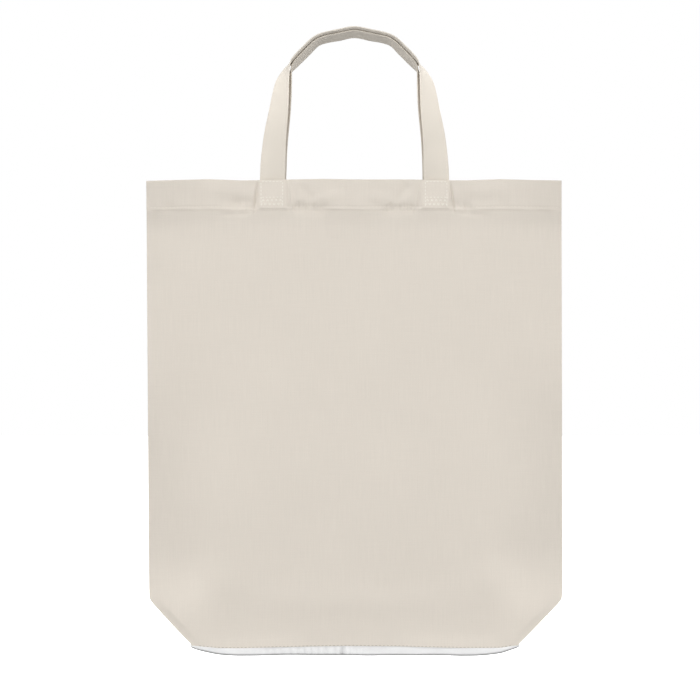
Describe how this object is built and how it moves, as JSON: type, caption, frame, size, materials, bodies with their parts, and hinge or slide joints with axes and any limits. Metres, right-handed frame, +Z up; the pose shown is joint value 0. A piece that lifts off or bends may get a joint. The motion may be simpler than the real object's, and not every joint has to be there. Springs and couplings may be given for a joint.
{
  "type": "foldable cotton tote bag",
  "caption": "Foldable cotton tote bag with short strap handles and a boxed white base folded flat behind it; it hangs by its handles and folds in half.",
  "frame": {"origin": "the point under the arch of the two handles where a hook or a hand carries the bag", "axes": "+Z up towards the handles, +X to the bag's right seen from the front, +Y to the back; the front faces -Y"},
  "size_m": [0.3802, 0.0294, 0.5758],
  "materials": {
    "cotton": "natural unbleached plain-weave cotton",
    "strap": "folded and stitched cotton strap",
    "white_cloth": "thin white fabric"
  },
  "bodies": {
    "upper_half": {"front_panel_upper": "cotton", "back_panel_upper": "cotton", "front_hem": "cotton", "back_hem": "cotton", "front_left_strap_end": "strap", "front_right_strap_end": "strap", "back_left_strap_end": "strap", "back_right_strap_end": "strap"},
    "lower_half": {"front_panel_lower": "cotton", "back_panel_lower": "cotton", "base_panel": "white_cloth", "left_corner_flap": "cotton", "right_corner_flap": "cotton"},
    "front_handle": {"front_handle": "strap"},
    "back_handle": {"back_handle": "strap"}
  },
  "joints": [
    {"name": "bag_fold", "type": "hinge", "parent": "upper_half", "child": "lower_half", "pos_m": [0, -0.0133, -0.3477], "axis": [-1, 0, 0], "range_deg": [0, 155]},
    {"name": "front_handle_swing", "type": "hinge", "parent": "upper_half", "child": "front_handle", "pos_m": [0, -0.0081, -0.1327], "axis": [1, 0, 0], "range_deg": [0, 172]},
    {"name": "back_handle_swing", "type": "hinge", "parent": "upper_half", "child": "back_handle", "pos_m": [0, 0.0081, -0.1327], "axis": [-1, 0, 0], "range_deg": [0, 172]}
  ]
}
